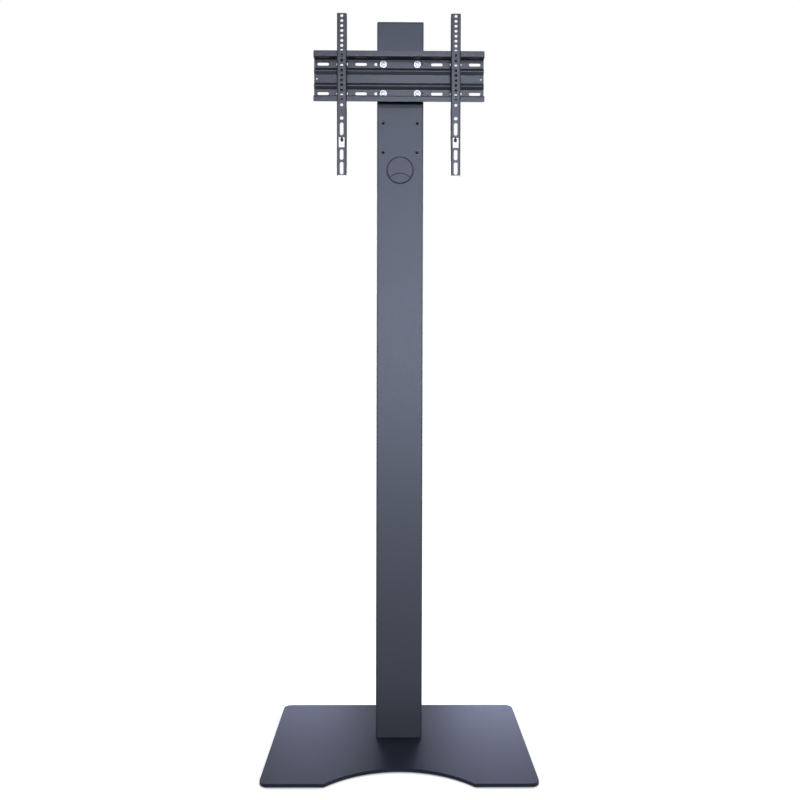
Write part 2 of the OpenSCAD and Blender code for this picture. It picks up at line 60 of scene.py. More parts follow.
def only(piece):
    bpy.ops.object.select_all(action='DESELECT')
    piece.select_set(True)
    bpy.context.view_layer.objects.active = piece


def settle(piece):  # writes place, turn and scale into the mesh
    only(piece)
    bpy.ops.object.transform_apply(location=True, rotation=True, scale=True)
    return piece


def applied(piece, kind, **settings):
    only(piece)
    modifier = piece.modifiers.new(kind.lower(), kind)
    for name, value in settings.items():
        setattr(modifier, name, value)
    bpy.ops.object.modifier_apply(modifier=modifier.name)
    return piece


def pick(piece, kind, wanted):  # opens the mesh with the wanted vertices, edges or faces selected
    only(piece)
    bpy.ops.object.mode_set(mode='EDIT')
    bpy.ops.mesh.select_mode(type=kind)
    bpy.ops.mesh.select_all(action='DESELECT')
    mesh = bmesh.from_edit_mesh(piece.data)
    for element in {'VERT': mesh.verts, 'EDGE': mesh.edges, 'FACE': mesh.faces}[kind]:
        if wanted(element):
            element.select_set(True)
    mesh.select_flush_mode()
    bmesh.update_edit_mesh(piece.data)


def close():
    bpy.ops.object.mode_set(mode='OBJECT')


def outwards(piece):  # joins doubled points and turns every face to the outside
    pick(piece, 'VERT', lambda vert: True)
    bpy.ops.mesh.remove_doubles(threshold=doubled)
    bpy.ops.mesh.normals_make_consistent(inside=False)
    close()
    return piece


def joined(name, pieces):
    bpy.ops.object.select_all(action='DESELECT')
    for piece in pieces:
        piece.select_set(True)
    bpy.context.view_layer.objects.active = pieces[0]
    bpy.ops.object.join()
    pieces[0].name = name
    return pieces[0]


def copied(piece, name, shift=(0, 0, 0), turn=0.0):  # turn is about the upright axis, before the shift
    double = piece.copy()
    double.data = piece.data.copy()
    double.name = name
    bpy.context.collection.objects.link(double)
    double.matrix_world = Matrix.Translation(shift) @ Matrix.Rotation(turn, 4, 'Z')
    return settle(double)


def middle(edge):
    return (edge.verts[0].co + edge.verts[1].co) / 2


def runsAlong(edge, axis):
    run = edge.verts[1].co - edge.verts[0].co
    return abs(run[axis]) > straight * run.length


def bevelled(piece, wanted, width, steps, kind='EDGE'):
    pick(piece, kind, wanted)
    bpy.ops.mesh.bevel(affect='EDGES' if kind == 'EDGE' else 'VERTICES', offset=width, segments=steps)
    close()
    return piece


def smoothed(piece):
    only(piece)
    bpy.ops.object.shade_smooth_by_angle(angle=math.radians(softAngle))
    return piece


def rounded(piece, width, steps=2):
    applied(piece, 'BEVEL', width=width, segments=steps, limit_method='ANGLE',
            angle_limit=math.radians(creaseAngle), use_clamp_overlap=True, miter_outer='MITER_ARC')
    return applied(smoothed(piece), 'WEIGHTED_NORMAL', keep_sharp=True)


def dressed(piece, body, slotName, material, *nodes):
    piece.data.materials.clear()
    piece.data.materials.append(material)
    if nodes:
        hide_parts(*nodes)
    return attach(piece, body)


# Stock and tools

def block(name, low, high):
    low, high = Vector(low), Vector(high)
    bpy.ops.mesh.primitive_cube_add(size=1, location=(low + high) / 2, scale=high - low)
    piece = bpy.context.object
    piece.name = name
    return settle(piece)


def rod(name, centre, radius, length, axis='Y', sides=64):
    turns = {'X': (0, math.pi / 2, 0), 'Y': (math.pi / 2, 0, 0), 'Z': (0, 0, 0)}
    bpy.ops.mesh.primitive_cylinder_add(
        vertices=sides, radius=radius, depth=length, location=centre, rotation=turns[axis])
    piece = bpy.context.object
    piece.name = name
    return settle(piece)


def slotTool(centre, length, width, depth, axis, sides=40):  # mills a round-ended slot through Y
    tool = rod('slotTool', (0, 0, 0), width / 2, depth, 'Y', sides)
    for side in (-1, 1):
        pick(tool, 'VERT', lambda vert: vert.co[axis] * side > hair)
        slide = [0, 0, 0]
        slide[axis] = side * (length - width) / 2
        bpy.ops.transform.translate(value=slide)
        close()
    tool.location = centre
    return settle(tool)


def turned(name, rings, sides=64):  # a closed round piece about Z; rings are (radius, height), end to end
    firstRadius, firstHeight = rings[0]
    bpy.ops.mesh.primitive_circle_add(
        vertices=sides, radius=firstRadius, fill_type='NGON', location=(0, 0, firstHeight))
    piece = settle(bpy.context.object)
    piece.name = name
    bpy.ops.object.mode_set(mode='EDIT')
    for (radius, height), (nextRadius, nextHeight) in zip(rings, rings[1:]):
        grow = nextRadius / radius
        bpy.ops.mesh.extrude_region_move(TRANSFORM_OT_translate={'value': (0, 0, nextHeight - height)})
        bpy.ops.transform.resize(value=(grow, grow, 1), center_override=(0, 0, nextHeight))
    close()
    return outwards(piece)


def arc(centre, radius, fromAngle, toAngle, steps):  # ring points on a round edge, angles from +radius
    angles = [math.radians(fromAngle + (toAngle - fromAngle) * k / steps) for k in range(steps + 1)]
    return [(centre[0] + radius * math.cos(angle), centre[1] + radius * math.sin(angle)) for angle in angles]


def worked(piece, tool, how='DIFFERENCE'):
    applied(piece, 'BOOLEAN', operation=how, solver='EXACT', object=tool)
    bpy.data.objects.remove(tool)
    return piece


threadRidge = {
    'foot': 0.8,              # width at its foot, as a share of the pitch
    'sink': 0.2,              # how far it reaches into the piece, as a share of its height
    'steps': 24,              # in one turn
}


def thread(piece, radius, pitch, low, high, depth, inner=False):
    # a helical ridge about Z, run on to the piece; inner threads point at the axis
    out = -depth if inner else depth
    root, tip, foot = radius - threadRidge['sink'] * out, radius + out, threadRidge['foot'] * pitch
    bpy.ops.mesh.primitive_circle_add(vertices=3, radius=foot / 2, fill_type='NOTHING')
    ridge = settle(bpy.context.object)
    corners = [(root, low), (root, low + foot), (tip, low + foot / 2)]
    for vert, (reach, height) in zip(ridge.data.vertices, corners):
        vert.co = (reach, 0, height)
    steps, turns = threadRidge['steps'], int((high - low) / pitch) - 1
    applied(ridge, 'SCREW', angle=math.tau, screw_offset=pitch, iterations=turns,
            steps=steps, render_steps=steps, use_merge_vertices=True)
    pick(ridge, 'EDGE', lambda edge: edge.is_boundary)
    bpy.ops.mesh.edge_face_add()
    close()
    outwards(ridge)
    return worked(piece, ridge, 'UNION')


# Finishes. A noise is the size of its features, its detail and its stretch. A span is the part of its
# values that is used, a share is how much it then shows, and a bump is depth and strength.

noiseSpan = (0.3, 0.7)
edgeTurn = (0.995, 0.86)      # cosines between which a bent normal counts as an edge
edgeSamples = 4


def addNode(tree, kind, **sockets):
    node = tree.nodes.new('ShaderNode' + kind)
    for name, value in sockets.items():
        node.inputs[name.replace('_', ' ')].default_value = value
    return node


def newFinish(name):
    material = bpy.data.materials.new(name)
    material.use_nodes = True
    tree = material.node_tree
    place = addNode(tree, 'TexCoord').outputs['Object']
    return material, tree, place, tree.nodes['Principled BSDF']


def grain(tree, place, size, detail, stretch=(1, 1, 1)):
    spread = addNode(tree, 'Mapping', Scale=stretch)
    tree.links.new(place, spread.inputs['Vector'])
    noise = addNode(tree, 'TexNoise', Scale=1 / size, Detail=detail)
    tree.links.new(spread.outputs['Vector'], noise.inputs['Vector'])
    return noise.outputs['Fac']


def between(tree, value, span, share=(0.0, 1.0)):
    spread = addNode(tree, 'MapRange', From_Min=span[0], From_Max=span[1], To_Min=share[0], To_Max=share[1])
    tree.links.new(value, spread.inputs['Value'])
    return spread.outputs['Result']


def bumped(tree, height, bump, under=None):
    depth, strength = bump
    relief = addNode(tree, 'Bump', Strength=strength, Distance=depth)
    tree.links.new(height, relief.inputs['Height'])
    if under:
        tree.links.new(under, relief.inputs['Normal'])
    return relief.outputs['Normal']


def combined(tree, how, one, other):  # a sum, product or the like of two values
    result = addNode(tree, 'Math')
    result.operation = how
    tree.links.new(one, result.inputs[0])
    tree.links.new(other, result.inputs[1])
    return result.outputs['Value']


def mixed(tree, share, one, other):  # colours, given as values or as sockets
    mix = tree.nodes.new('ShaderNodeMix')
    mix.data_type = 'RGBA'
    tree.links.new(share, mix.inputs['Factor'])
    for socket, colour in (('A', one), ('B', other)):
        entry = next(s for s in mix.inputs if s.name == socket and s.type == 'RGBA')
        if isinstance(colour, tuple):
            entry.default_value = (*colour, 1)
        else:
            tree.links.new(colour, entry)
    return next(s for s in mix.outputs if s.type == 'RGBA')


def edgeMask(tree, reach):  # 1 on sharp outer and inner edges, 0 on open faces
    soft = addNode(tree, 'Bevel', Radius=reach)
    soft.samples = edgeSamples
    dot = addNode(tree, 'VectorMath')
    dot.operation = 'DOT_PRODUCT'
    tree.links.new(soft.outputs['Normal'], dot.inputs[0])
    tree.links.new(addNode(tree, 'NewGeometry').outputs['Normal'], dot.inputs[1])
    return between(tree, dot.outputs['Value'], edgeTurn)


def patches(tree, place, look):  # where the patch colour shows: all over, or along the edges only
    share = between(tree, grain(tree, place, *look['patch']), look['patchSpan'], look['patchShare'])
    if 'edgeReach' in look:
        share = combined(tree, 'MULTIPLY', edgeMask(tree, look['edgeReach']), share)
    return share


def surfaced(tree, shader, look, colour, matt, normal):
    tree.links.new(colour, shader.inputs['Base Color'])
    tree.links.new(between(tree, matt, noiseSpan, look['roughness']), shader.inputs['Roughness'])
    tree.links.new(normal, shader.inputs['Normal'])
    shader.inputs['Metallic'].default_value = look['metallic']
    shader.inputs['Specular IOR Level'].default_value = look['shine']
    shader.inputs['Specular Tint'].default_value = (*look['sheenColour'], 1)


powderPaint = {
    'patchColour': (0.05, 0.053, 0.062),      # thin paint along the edges
    'patch': (0.012, 4.0),
    'patchSpan': (0.4, 0.7),
    'patchShare': (0.1, 0.4),
    'edgeReach': 0.0008,
    'cloud': (0.35, 3.0),                     # slow clouds in the coat
    'cloudSpan': (0.35, 0.65),
    'peel': (0.0022, 2.0),
    'peelBump': (0.00012, 0.35),
    'grit': (0.00045, 1.0),
    'gritSpan': (0.25, 0.75),
    'gritShare': (0.0, 0.12),
    'gritBump': (0.00005, 0.4),
    'metallic': 0.0,
}
columnPaint = {
    'colour': (0.0115, 0.0136, 0.0195),
    'cloudColour': (0.0094, 0.0112, 0.0165),
    'sheenColour': (0.68, 0.76, 1.0),
    'roughness': (0.43, 0.49),
    'shine': 0.4,
}
# painted shade: this copy of the black powder coat is darker and bluer than the column's, standing in for the
# shade on the flat base plate
shadedBasePaint = {
    'colour': (0.0065, 0.009, 0.0175),
    'cloudColour': (0.0055, 0.0077, 0.015),
    'sheenColour': (0.6, 0.66, 1.0),
    'roughness': (0.44, 0.5),
    'shine': 0.15,
}
# painted shade: this copy of the black powder coat, on the rail and the brackets, is darker than the
# column's, standing in for the shade on the slopes of the beads and under the shelves
shadedRailPaint = {
    'colour': (0.008, 0.0088, 0.0125),
    'cloudColour': (0.0066, 0.0074, 0.0106),
    'sheenColour': (0.74, 0.79, 1.0),
    'roughness': (0.38, 0.44),
    'shine': 0.42,
}


def powderCoat(name, coat):
    look = {**powderPaint, **coat}
    material, tree, place, shader = newFinish(name)
    cloud = between(tree, grain(tree, place, *look['cloud']), look['cloudSpan'])
    peel = grain(tree, place, *look['peel'])
    grit = grain(tree, place, *look['grit'])
    speck = between(tree, grit, look['gritSpan'], look['gritShare'])
    colour = mixed(tree, cloud, look['colour'], look['cloudColour'])
    for share in (speck, patches(tree, place, look)):
        colour = mixed(tree, share, colour, look['patchColour'])
    normal = bumped(tree, grit, look['gritBump'], bumped(tree, peel, look['peelBump']))
    surfaced(tree, shader, look, colour, peel, normal)
    return material


zincPlating = {
    'colour': (0.33, 0.35, 0.39),
    'patchColour': (0.275, 0.305, 0.355),     # faint blue of the passivated layer
    'patch': (0.004, 2.0),
    'patchSpan': (0.35, 0.7),
    'patchShare': (0.0, 1.0),
    'grain': (0.0004, 3.0, (1, 1, 0.08)),
    'bump': (0.00003, 0.25),
    'roughness': (0.36, 0.48),
    'metallic': 1.0,
    'shine': 0.5,
    'sheenColour': (1, 1, 1),
}
oiledBlack = {
    'colour': (0.012, 0.0135, 0.018),
    'patchColour': (0.09, 0.092, 0.1),        # steel that shows at rubbed edges
    'patch': (0.003, 3.0),
    'patchSpan': (0.4, 0.7),
    'patchShare': (0.0, 0.7),
    'edgeReach': 0.0004,
    'grain': (0.0012, 3.0),
    'bump': (0.00003, 0.3),
    'roughness': (0.34, 0.5),
    'metallic': 0.35,
    'shine': 0.5,
    'sheenColour': (1, 1, 1),
}
mouldedPlastic = {
    'colour': (0.016, 0.018, 0.026),
    'patchColour': (0.04, 0.043, 0.05),       # scuffed edges
    'patch': (0.006, 3.0),
    'patchSpan': (0.4, 0.7),
    'patchShare': (0.1, 0.6),
    'edgeReach': 0.0006,
    'grain': (0.0005, 2.0),                   # spark-eroded grain of the mould
    'bump': (0.00004, 0.4),
    'roughness': (0.5, 0.58),
    'metallic': 0.0,
    'shine': 0.5,
    'sheenColour': (0.7, 0.76, 1.0),
}
dullPlastic = {**mouldedPlastic, 'shine': 0.12}
padRubber = {
    'colour': (0.022, 0.022, 0.024),
    'patchColour': (0.06, 0.058, 0.055),      # dust
    'patch': (0.004, 4.0),
    'patchSpan': (0.45, 0.75),
    'patchShare': (0.0, 0.6),
    'grain': (0.0006, 2.0),
    'bump': (0.00005, 0.5),
    'roughness': (0.7, 0.85),
    'metallic': 0.0,
    'shine': 0.5,
    'sheenColour': (1, 1, 1),
}


def patchyFinish(name, look):
    material, tree, place, shader = newFinish(name)
    fine = grain(tree, place, *look['grain'])
    colour = mixed(tree, patches(tree, place, look), look['colour'], look['patchColour'])
    surfaced(tree, shader, look, colour, fine, bumped(tree, fine, look['bump']))
    return material


paintedTube = powderCoat('paintedTube', columnPaint)
shadedBaseCoat = powderCoat('shadedBaseCoat', shadedBasePaint)
shadedRailCoat = powderCoat('shadedRailCoat', shadedRailPaint)
platedSteel = patchyFinish('platedSteel', zincPlating)
darkSteel = patchyFinish('darkSteel', oiledBlack)
capPlastic = patchyFinish('capPlastic', dullPlastic)
darkPlastic = patchyFinish('darkPlastic', mouldedPlastic)
padMaterial = patchyFinish('padMaterial', padRubber)
print('finishes mixed')


# Base plate: one sheet with round corners, an arch in its front edge and countersunk holes below

baseSheet = {
    'cornerRadius': 0.020,
    'cornerSteps': 14,
    'archWidth': 0.347,
    'archRise': 0.072,
    'archSides': 512,
    'headRadius': 0.010,      # head of a base bolt
    'boltRadius': 0.005,
    'holeRoom': 0.0005,
    'holeSides': 48,
    'edge': 0.001,
    'edgeSteps': 3,
}


def makeBase():
    low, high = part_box('base_plate')
    sheet = block('baseSheet', low, high)
    bevelled(sheet, lambda edge: runsAlong(edge, 2), baseSheet['cornerRadius'], baseSheet['cornerSteps'])
    half, rise = baseSheet['archWidth'] / 2, baseSheet['archRise']
    archRadius = (half ** 2 + rise ** 2) / (2 * rise)
    thick = high.z - low.z
    worked(sheet, rod('archTool', (0, low.y + rise - archRadius, (low.z + high.z) / 2), archRadius,
                      through * thick, 'Z', baseSheet['archSides']))
    boltLow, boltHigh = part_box('base_bolts')
    head, hole = baseSheet['headRadius'], baseSheet['boltRadius'] + baseSheet['holeRoom']
    sink = head - baseSheet['boltRadius']
    tools = []
    for x in (boltLow.x + head, boltHigh.x - head):
        for y in (boltLow.y + head, boltHigh.y - head):
            tool = turned('sinkTool', [
                (head + baseSheet['holeRoom'] + thick, low.z - thick), (hole, low.z + sink),
                (hole, high.z + thick)], baseSheet['holeSides'])
            tool.location = (x, y, 0)
            tools.append(settle(tool))
    worked(sheet, joined('sinkTools', tools))
    rounded(sheet, baseSheet['edge'], baseSheet['edgeSteps'])
    return dressed(sheet, 'stand', 'powder_coated_steel', shadedBaseCoat, 'base_plate')


makeBase()
print('base plate made')


# Rubber pads: discs with a soft edge and a shallow dish below

footPad = {
    'edge': 0.0006,
    'edgeSteps': 4,
    'dishShare': 0.6,
    'dishDepth': 0.0004,
    'sides': 72,
}


def makePads():
    low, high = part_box('pad_front_left')
    radius, height, edge = (high.x - low.x) / 2, high.z - low.z, footPad['edge']
    dish = radius * footPad['dishShare']
    rings = [(dish / 2, footPad['dishDepth']), (dish, footPad['dishDepth']), (dish + edge, 0)]
    rings += arc((radius - edge, edge), edge, -90, 0, footPad['edgeSteps'])
    rings += [(radius - edge / 4, height - edge / 4), (radius - edge, height)]
    first = smoothed(turned('pad', rings, footPad['sides']))
    for side in ('front_left', 'front_right', 'rear_left', 'rear_right'):
        node = 'pad_' + side
        low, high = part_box(node)
        pad = copied(first, node.replace('_', '.'), ((low.x + high.x) / 2, (low.y + high.y) / 2, 0))
        dressed(pad, 'stand', 'rubber_pad', padMaterial, node)
    bpy.data.objects.remove(first)


makePads()
print('pads made')


# Column: a rectangular tube with round corners, threaded holes and two grommet holes

columnTube = {
    'wall': 0.002,
    'cornerRadius': 0.004,
    'cornerSteps': 8,
    'nutHole': 0.0047,        # radius of the holes for the rivet nuts
    'nutHoleSides': 40,
    'grommetHole': 0.030,     # radius of the cable holes
    'grommetHoleSides': 96,
    'edge': 0.0003,
}
threadRows = {
    'spread': 0.0875,         # between the two holes of a row
    'pitch': 0.075,
    'rows': 4,
    'topDrop': 0.107,         # highest row, below the top of the tube
}


def threadPlaces(first, last):  # places of the threaded holes on the front of the column
    low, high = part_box('column_tube')
    top = high.z - threadRows['topDrop']
    return [Vector((side * threadRows['spread'] / 2, low.y, top - row * threadRows['pitch']))
            for row in range(first, last + 1) for side in (-1, 1)]


def makeColumn():
    low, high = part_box('column_tube')
    wall = columnTube['wall']
    tube = block('columnTube', low, high)
    bevelled(tube, lambda edge: runsAlong(edge, 2), columnTube['cornerRadius'], columnTube['cornerSteps'])
    pick(tube, 'FACE', lambda face: abs(face.normal.z) > facing)
    bpy.ops.mesh.inset(thickness=wall, use_even_offset=True)
    bpy.ops.mesh.delete(type='FACE')
    close()
    pick(tube, 'EDGE', lambda edge: edge.is_boundary)
    bpy.ops.mesh.bridge_edge_loops()
    close()
    outwards(tube)
    tools = [rod('nutTool', place, columnTube['nutHole'], through * wall, 'Y', columnTube['nutHoleSides'])
             for place in threadPlaces(0, threadRows['rows'] - 1)]
    for node, face in (('upper_grommet_ring', low.y), ('lower_grommet_ring', high.y)):
        ringLow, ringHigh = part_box(node)
        tools.append(rod('grommetTool', (0, face, (ringLow.z + ringHigh.z) / 2), columnTube['grommetHole'],
                         through * wall, 'Y', columnTube['grommetHoleSides']))
    worked(tube, joined('holeTools', tools))
    rounded(tube, columnTube['edge'])
    return dressed(tube, 'stand', 'powder_coated_steel', paintedTube, 'column_tube')


makeColumn()
print('column made')


# End cap: a rim with a soft top edge, and a hollow plug inside the tube

endCap = {
    'rim': 0.003,
    'topEdge': 0.0012,
    'topSteps': 5,
    'plugSet': 0.0022,        # plug, in from the outside of the rim
    'plugWall': 0.002,
    'plugLength': 0.015,
    'seam': 0.0005,           # chamfer at the joint with the tube
}


def makeCap():
    low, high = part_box('column_cap')
    foot = high.z - endCap['rim']
    cap = block('endCap', (low.x, low.y, foot), high)
    bevelled(cap, lambda edge: runsAlong(edge, 2), columnTube['cornerRadius'], columnTube['cornerSteps'])
    pick(cap, 'FACE', lambda face: face.normal.z < -facing)
    bpy.ops.mesh.inset(thickness=endCap['plugSet'], use_even_offset=True)
    bpy.ops.mesh.extrude_region_move(TRANSFORM_OT_translate={'value': (0, 0, -endCap['plugLength'])})
    bpy.ops.mesh.inset(thickness=endCap['plugWall'], use_even_offset=True)
    bpy.ops.mesh.extrude_region_move(TRANSFORM_OT_translate={'value': (0, 0, endCap['plugLength'])})
    close()
    bevelled(cap, lambda edge: middle(edge).z > high.z - hair, endCap['topEdge'], endCap['topSteps'])
    bevelled(cap, lambda edge: edge.is_convex and abs(middle(edge).z - foot) < hair, endCap['seam'], 1)
    applied(smoothed(cap), 'WEIGHTED_NORMAL', keep_sharp=True)
    return dressed(cap, 'stand', 'black_plastic', capPlastic, 'column_cap')


makeCap()
print('end cap made')


# Open rivet nuts: a thin flange on the face of the column, with a real thread inside

rivetNut = {
    'flange': 0.006,
    'flangeHeight': 0.0008,
    'body': 0.0045,
    'bulge': 0.006,
    'bulgeLength': 0.003,
    'bulgeSteps': 8,
    'length': 0.014,
    'bore': 0.00305,
    'mouth': 0.0041,          # countersunk mouth of the bore
    'mouthDepth': 0.0009,
    'pitch': 0.001,
    'ridge': 0.00045,
    'edge': 0.0003,
    'edgeSteps': 4,
    'sides': 48,
}


def makeNuts():
    nut = rivetNut
    edge, wall, bore, length = nut['edge'], columnTube['wall'], nut['bore'], nut['length']
    start, bend = nut['mouthDepth'] - nut['flangeHeight'], nut['bulgeLength'] / 2
    rings = [(bore, start), (nut['mouth'], -nut['flangeHeight'])]
    rings += arc((nut['flange'] - edge, edge - nut['flangeHeight']), edge, -90, 0, nut['edgeSteps'])
    rings += [(nut['flange'], 0), (nut['body'], 0), (nut['body'], wall)]
    rings += arc((nut['bulge'] - bend, wall + bend), bend, -90, 90, nut['bulgeSteps'])
    rings += [(nut['body'], wall + nut['bulgeLength']), (nut['body'], length - edge),
              (nut['body'] - edge, length), (bore + edge, length)]
    first = turned('nut', rings, nut['sides'])
    worked(first, rod('boreTool', (0, 0, length / 2), bore, through * length, 'Z', nut['sides']))
    thread(first, bore, nut['pitch'], start, length - edge, nut['ridge'], inner=True)
    first.rotation_euler = (-math.pi / 2, 0, 0)
    smoothed(settle(first))
    nuts = [copied(first, 'nutCopy', place) for place in threadPlaces(2, threadRows['rows'] - 1)]
    bpy.data.objects.remove(first)
    return dressed(joined('openRivetNuts', nuts), 'stand', 'blackened_steel', darkSteel, 'rivet_nuts_lower')


makeNuts()
print('rivet nuts made')


# Solids that keep their shape and only take a finish

keptSolids = {'column_foot': paintedTube, 'rivet_nuts_upper': darkSteel, 'base_bolts': platedSteel}
for node, material in keptSolids.items():
    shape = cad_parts[node].data
    shape.materials.clear()
    shape.materials.append(material)
print('hidden solids finished')


# Rail plate: one sheet folded into two lips, two shelves and two beads, with sixteen slots

railSheet = {
    'thickness': 0.002,
    'lip': 0.0156,            # height of a lip with its bend
    'shelf': 0.0488,          # inside of a shelf from the middle of the rail
    'beadOuter': 0.0271,
    'beadInner': 0.0107,
    'beadRise': 0.0064,
    'beadRun': 0.0074,
    'bend': 0.0025,           # on the middle of the sheet
    'bendSteps': 6,
    'crestBend': 0.0018,
    'lipCorner': 0.003,
    'lipCornerSteps': 6,
    'slotLength': 0.0296,
    'slotWidth': 0.0076,
    'slotPitch': 0.0487,
    'slotsPerSide': 4,
    'slotRows': 0.0375,       # above and below the middle
    'endHole': 0.002,
    'endHoleSides': 32,
    'endHoleInset': 0.007,
    'edge': 0.00025,
}


def uprightSheet(name, left, right, depth, foot, head):  # a flat sheet that faces the front
    bpy.ops.mesh.primitive_plane_add(size=1, rotation=(math.pi / 2, 0, 0),
                                     location=((left + right) / 2, depth, (foot + head) / 2))
    sheet = bpy.context.object
    sheet.name = name
    sheet.scale = (right - left, head - foot, 1)
    return settle(sheet)


def foldedSheet(name, low, high, path):  # a strip from low to high in X, pulled along (depth, height) points
    (firstY, firstZ), secondZ = path[0], path[1][1]
    sheet = uprightSheet(name, low, high, firstY, min(firstZ, secondZ), max(firstZ, secondZ))
    pick(sheet, 'EDGE', lambda edge: runsAlong(edge, 0) and abs(middle(edge).z - secondZ) < hair)
    for (y, z), (nextY, nextZ) in zip(path[1:], path[2:]):
        bpy.ops.mesh.extrude_region_move(TRANSFORM_OT_translate={'value': (0, nextY - y, nextZ - z)})
    close()
    return outwards(sheet)


def folds(sheet, points, radius, angle, steps):  # rounds the folds that lie on these (depth, height) points
    def onFold(edge):
        place = middle(edge)
        return runsAlong(edge, 0) and any(math.hypot(place.y - y, place.z - z) < hair for y, z in points)
    return bevelled(sheet, onFold, radius * math.tan(math.radians(angle) / 2), steps)


def thickened(sheet, thickness):
    return outwards(applied(sheet, 'SOLIDIFY', thickness=thickness, offset=0, use_even_offset=True))


def makeRail():
    rail = railSheet
    low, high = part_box('mount_plate')
    thickness, middleZ = rail['thickness'], (low.z + high.z) / 2
    half, lipTop = thickness / 2, rail['shelf'] + rail['lip']
    web, lip = high.y - half, low.y + half
    crest = web - rail['beadRise']
    upper = [
        (lip, lipTop), (lip, rail['shelf'] + half), (web, rail['shelf'] + half),
        (web, rail['beadOuter']), (crest, rail['beadOuter'] - rail['beadRun']),
        (crest, rail['beadInner'] + rail['beadRun']), (web, rail['beadInner']),
    ]
    path = [(y, middleZ + z) for y, z in upper] + [(y, middleZ - z) for y, z in reversed(upper)]
    sheet = foldedSheet('railSheet', low.x, high.x, path)
    square = [path[k] for k in (1, 2, -2, -3)]
    feet = [path[k] for k in (3, 6, -7, -4)]
    crests = [path[k] for k in (4, 5, -6, -5)]
    bead = math.degrees(math.atan2(rail['beadRise'], rail['beadRun']))
    folds(sheet, square, rail['bend'], 90, rail['bendSteps'])
    folds(sheet, feet, rail['bend'], bead, rail['bendSteps'] // 2)
    folds(sheet, crests, rail['crestBend'], bead, rail['bendSteps'])
    bevelled(sheet, lambda vert: abs(vert.co.z - middleZ) > lipTop - hair, rail['lipCorner'],
             rail['lipCornerSteps'], 'VERT')
    thickened(sheet, thickness)
    centre, pitch, tools = (low.x + high.x) / 2, rail['slotPitch'], []
    for row in (-1, 1):
        for side in (-1, 1):
            for k in range(1, rail['slotsPerSide'] + 1):
                place = (centre + side * k * pitch, web, middleZ + row * rail['slotRows'])
                tools.append(slotTool(place, rail['slotLength'], rail['slotWidth'], through * thickness, 0))
    for end in (low.x + rail['endHoleInset'], high.x - rail['endHoleInset']):
        tools.append(rod('endHoleTool', (end, web, middleZ), rail['endHole'], through * thickness, 'Y',
                         rail['endHoleSides']))
    worked(sheet, joined('slotTools', tools))
    rounded(sheet, rail['edge'])
    return dressed(sheet, 'stand', 'powder_coated_steel', shadedRailCoat, 'mount_plate')


makeRail()
print('rail plate made')


# Rail screws and washers: pan heads with a cross recess on large flat washers

panScrew = {
    'head': 0.006,
    'headHeight': 0.0042,
    'crown': 0.0021,
    'crownSteps': 8,
    'shank': 0.00298,
    'neck': 0.0006,           # full shank below the head
    'neckStep': 0.0002,
    'tip': 0.0008,            # chamfer of the shank's end
    'threadDepth': 0.0005,
    'pitch': 0.001,
    'length': 0.016,
    'crossReach': 0.0031,
    'crossWidth': 0.0014,
    'crossDepth': 0.0022,
    'crossTurns': (45, 135),  # degrees
    'crossTaper': (0.45, 0.7, 1),   # bottom of the recess, as a share of its top
    'crossEdge': 0.00012,
    'edge': 0.0002,
    'firstTurn': 17,          # degrees; no two heads stop at the same turn
    'nextTurn': 23,
}
flatWasher = {
    'outer': 0.009,
    'bore': 0.0035,
    'boreSides': 48,
    'thickness': 0.0016,
    'edge': 0.0003,
    'edgeSteps': 5,
    'sides': 72,
}


def makeWashers():
    washer = flatWasher
    edge, outer, thick, bore = washer['edge'], washer['outer'], washer['thickness'], washer['bore']
    rings = [(2 * bore, 0), (outer - edge / 2, 0), (outer, edge / 2)]
    rings += arc((outer - 2 * edge, thick - 2 * edge), 2 * edge, 0, 90, washer['edgeSteps'])
    first = turned('washer', rings + [(2 * bore, thick)], washer['sides'])
    worked(first, rod('boreTool', (0, 0, thick / 2), bore, through * thick, 'Z', washer['boreSides']))
    rounded(first, edge / 2)
    first.rotation_euler = (math.pi / 2, 0, 0)
    settle(first)
    low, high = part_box('mount_washers')
    washers = [copied(first, 'washerCopy', (place.x, high.y, place.z)) for place in threadPlaces(0, 1)]
    bpy.data.objects.remove(first)
    return dressed(joined('railWashers', washers), 'stand', 'zinc_plated_steel', platedSteel, 'mount_washers')


def makeScrews():
    screw = panScrew
    head, crown, top, edge = screw['head'], screw['crown'], screw['headHeight'], screw['edge']
    shank, neck, tip, end = screw['shank'], screw['neck'], screw['tip'], -screw['length']
    root = shank - screw['threadDepth']
    rings = [(root - tip, end), (root, end + tip), (root, -neck - screw['neckStep']),
             (shank, -neck), (shank, 0), (head - edge, 0), (head, edge)]
    for step in range(screw['crownSteps']):
        angle = math.pi / 2 * step / screw['crownSteps']
        rings.append((head * math.cos(angle), top - crown + crown * math.sin(angle)))
    first = turned('screw', rings)
    reach, half, deep = screw['crossReach'], screw['crossWidth'] / 2, top - screw['crossDepth']
    cross = []
    for turn in screw['crossTurns']:
        bar = block('crossTool', (-reach, -half, deep), (reach, half, top + screw['crossDepth']))
        pick(bar, 'FACE', lambda face: face.normal.z < -facing)
        bpy.ops.transform.resize(value=screw['crossTaper'], center_override=(0, 0, deep))
        close()
        bar.rotation_euler = (0, 0, math.radians(turn))
        cross.append(settle(bar))
    for bar in cross:
        worked(first, bar)
    rounded(first, screw['crossEdge'])
    thread(first, root, screw['pitch'], end + screw['pitch'], -screw['pitch'], screw['threadDepth'])
    first.rotation_euler = (math.pi / 2, 0, 0)
    settle(first)
    low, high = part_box('mount_washers')
    screws = []
    for number, place in enumerate(threadPlaces(0, 1)):
        driven = copied(first, 'screwCopy')
        driven.rotation_euler = (0, math.radians(screw['firstTurn'] + screw['nextTurn'] * number), 0)
        driven.location = (place.x, low.y, place.z)
        screws.append(settle(driven))
    bpy.data.objects.remove(first)
    return dressed(joined('railScrews', screws), 'stand', 'zinc_plated_steel', platedSteel, 'mount_screws')


makeWashers()
makeScrews()
print('rail screws made')
